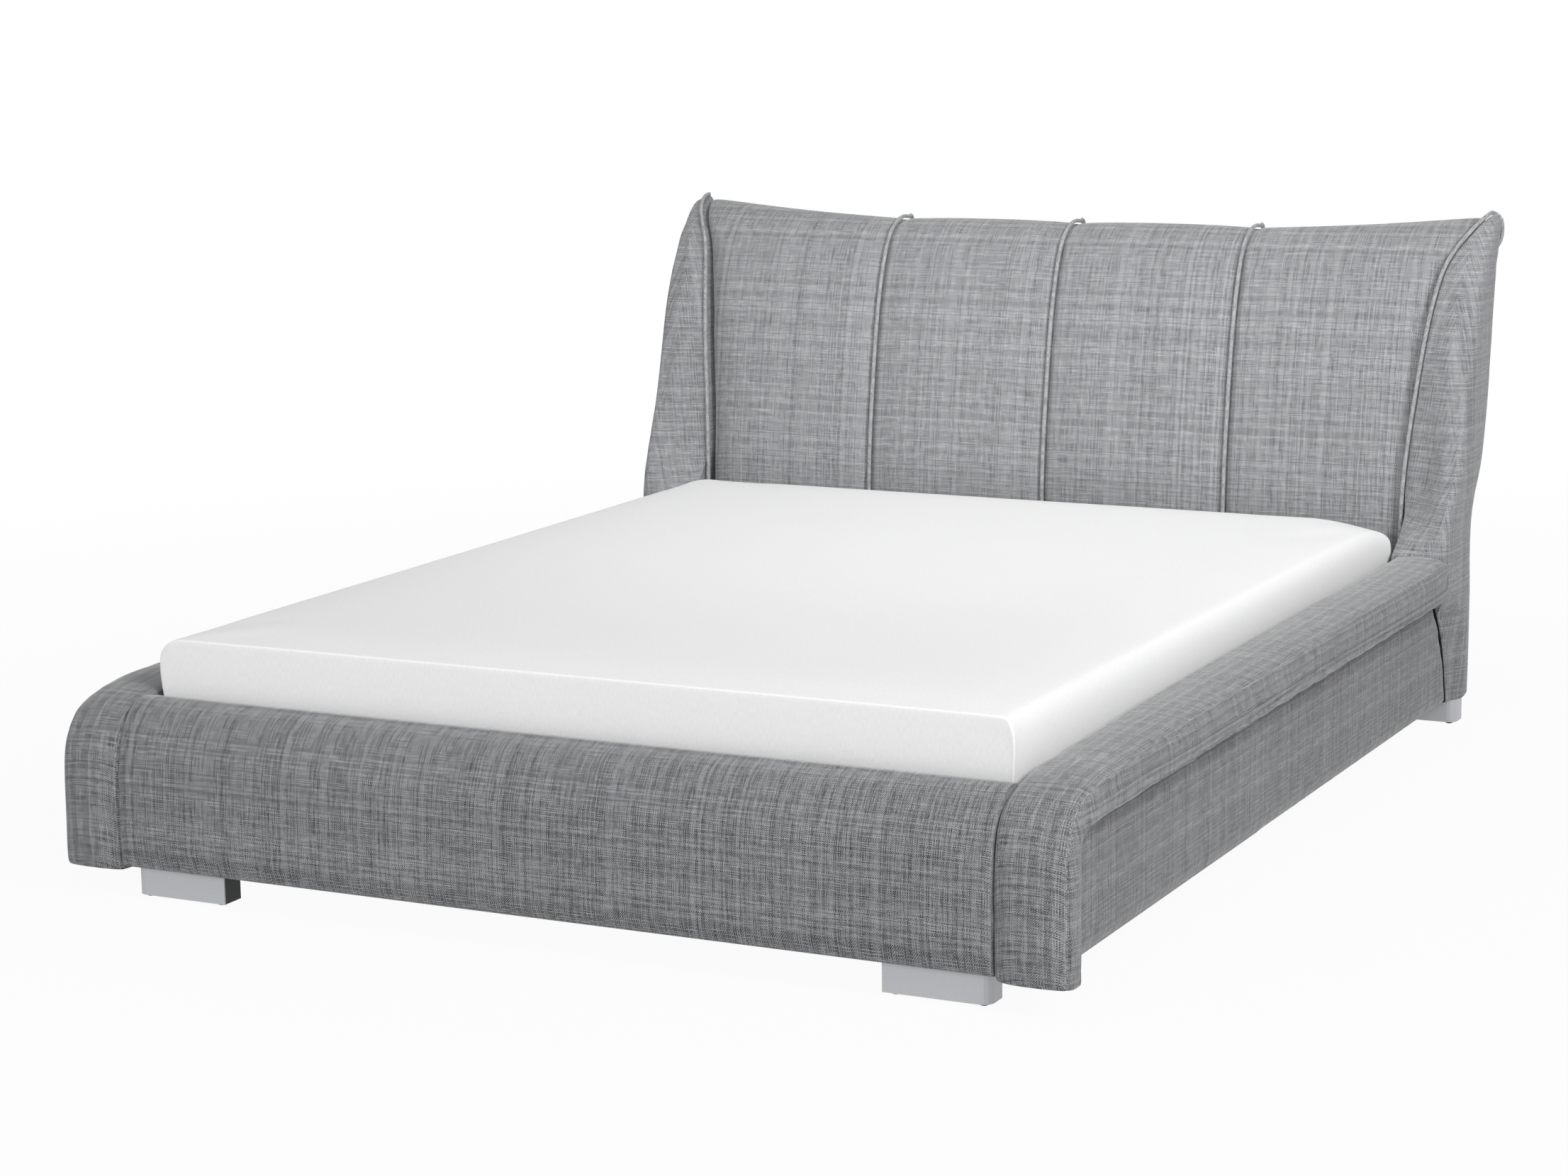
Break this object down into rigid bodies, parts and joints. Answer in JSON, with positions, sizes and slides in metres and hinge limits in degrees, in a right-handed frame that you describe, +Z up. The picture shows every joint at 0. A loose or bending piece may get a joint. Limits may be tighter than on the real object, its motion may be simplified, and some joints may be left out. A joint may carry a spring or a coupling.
{
  "type": "waterbed",
  "caption": "Softside waterbed in a grey upholstered frame: a tall padded headboard that sweeps back, soft side rails that curve down at the foot, and a white zipped mattress.",
  "frame": {"origin": "middle of the bed's footprint, on the floor", "axes": "+X to the right seen from the foot end, +Y towards the headboard, +Z up"},
  "size_m": [1.886, 2.472, 1.049],
  "materials": {
    "frame_fabric": "mid-grey melange linen-look weave",
    "piping_fabric": "the same fabric cut on the bias over a cord",
    "cover_top": "white knitted quilt",
    "cover_base": "white woven cloth",
    "zip_metal": "nickel",
    "foam": "bare foam",
    "vinyl": "blue soft vinyl, full of water",
    "vinyl_liner": "black vinyl film",
    "heater": "laminated vinyl",
    "valve_plastic": "moulded",
    "chipboard": "black foil on chipboard",
    "wood": "bare softwood and plywood",
    "leg_metal": "silver lacquer",
    "block": "black moulding",
    "steel": "zinc plated"
  },
  "bodies": {
    "bed": {"pedestal_long_left": "chipboard", "pedestal_long_right": "chipboard", "pedestal_cross_foot": "chipboard", "pedestal_cross_middle": "chipboard", "pedestal_cross_head": "chipboard", "deck_board_left": "chipboard", "deck_board_right": "chipboard", "cover_base": "cover_base", "foam_rail_left": "foam", "foam_rail_right": "foam", "foam_rail_foot": "foam", "foam_rail_head": "foam", "safety_liner": "vinyl_liner", "heater_left": "heater", "heater_right": "heater", "thermal_divider": "foam", "bladder_left": "vinyl", "bladder_right": "vinyl", "valve_left": "valve_plastic", "valve_right": "valve_plastic", "leg_front_left": "leg_metal", "leg_front_right": "leg_metal", "leg_rear_left": "leg_metal", "leg_rear_right": "leg_metal", "leg_block_front_left": "block", "leg_block_front_right": "block", "leg_block_rear_left": "block", "leg_block_rear_right": "block", "leg_bolt_front_left": "steel", "leg_bolt_front_right": "steel", "leg_bolt_rear_left": "steel", "leg_bolt_rear_right": "steel", "foot_board": "wood", "foot_panel": "frame_fabric", "side_rail_left": "frame_fabric", "side_rail_right": "frame_fabric", "rail_board_left": "wood", "rail_board_right": "wood", "rail_pad_left": "frame_fabric", "rail_pad_right": "frame_fabric", "headboard_board": "wood", "headboard_pad": "frame_fabric", "headboard_back_pad": "frame_fabric", "headboard_wing_left": "frame_fabric", "headboard_wing_right": "frame_fabric", "headboard_piping_middle": "piping_fabric", "headboard_piping_inner_left": "piping_fabric", "headboard_piping_inner_right": "piping_fabric", "headboard_piping_outer_left": "piping_fabric", "headboard_piping_outer_right": "piping_fabric", "corner_bracket_foot_left": "steel", "corner_bracket_foot_right": "steel", "corner_bracket_head_left": "steel", "corner_bracket_head_right": "steel"},
    "mattress_lid": {"cover_top": "cover_top"},
    "slider": {"zip_slider": "zip_metal"},
    "puller": {"zip_puller": "zip_metal"},
    "cap_left": {"valve_cap_left": "valve_plastic"},
    "cap_right": {"valve_cap_right": "valve_plastic"}
  },
  "joints": [
    {"name": "cover_lift", "type": "slide", "parent": "bed", "child": "mattress_lid", "axis": [0, 0, 1], "range_m": [0, 0.4]},
    {"name": "zip_run", "type": "slide", "parent": "bed", "child": "slider", "axis": [-1, 0, 0], "range_m": [0, 1.44]},
    {"name": "puller_swing", "type": "hinge", "parent": "slider", "child": "puller", "pos_m": [0.72, 0.8918, 0.29845], "axis": [1, 0, 0], "range_deg": [0, 175]},
    {"name": "cap_turn_left", "type": "hinge", "parent": "bed", "child": "cap_left", "pos_m": [-0.34, -0.735, 0.41], "axis": [0, 0, 1], "range_deg": [0, 540]},
    {"name": "cap_turn_right", "type": "hinge", "parent": "bed", "child": "cap_right", "pos_m": [0.34, -0.735, 0.41], "axis": [0, 0, 1], "range_deg": [0, 540]}
  ]
}
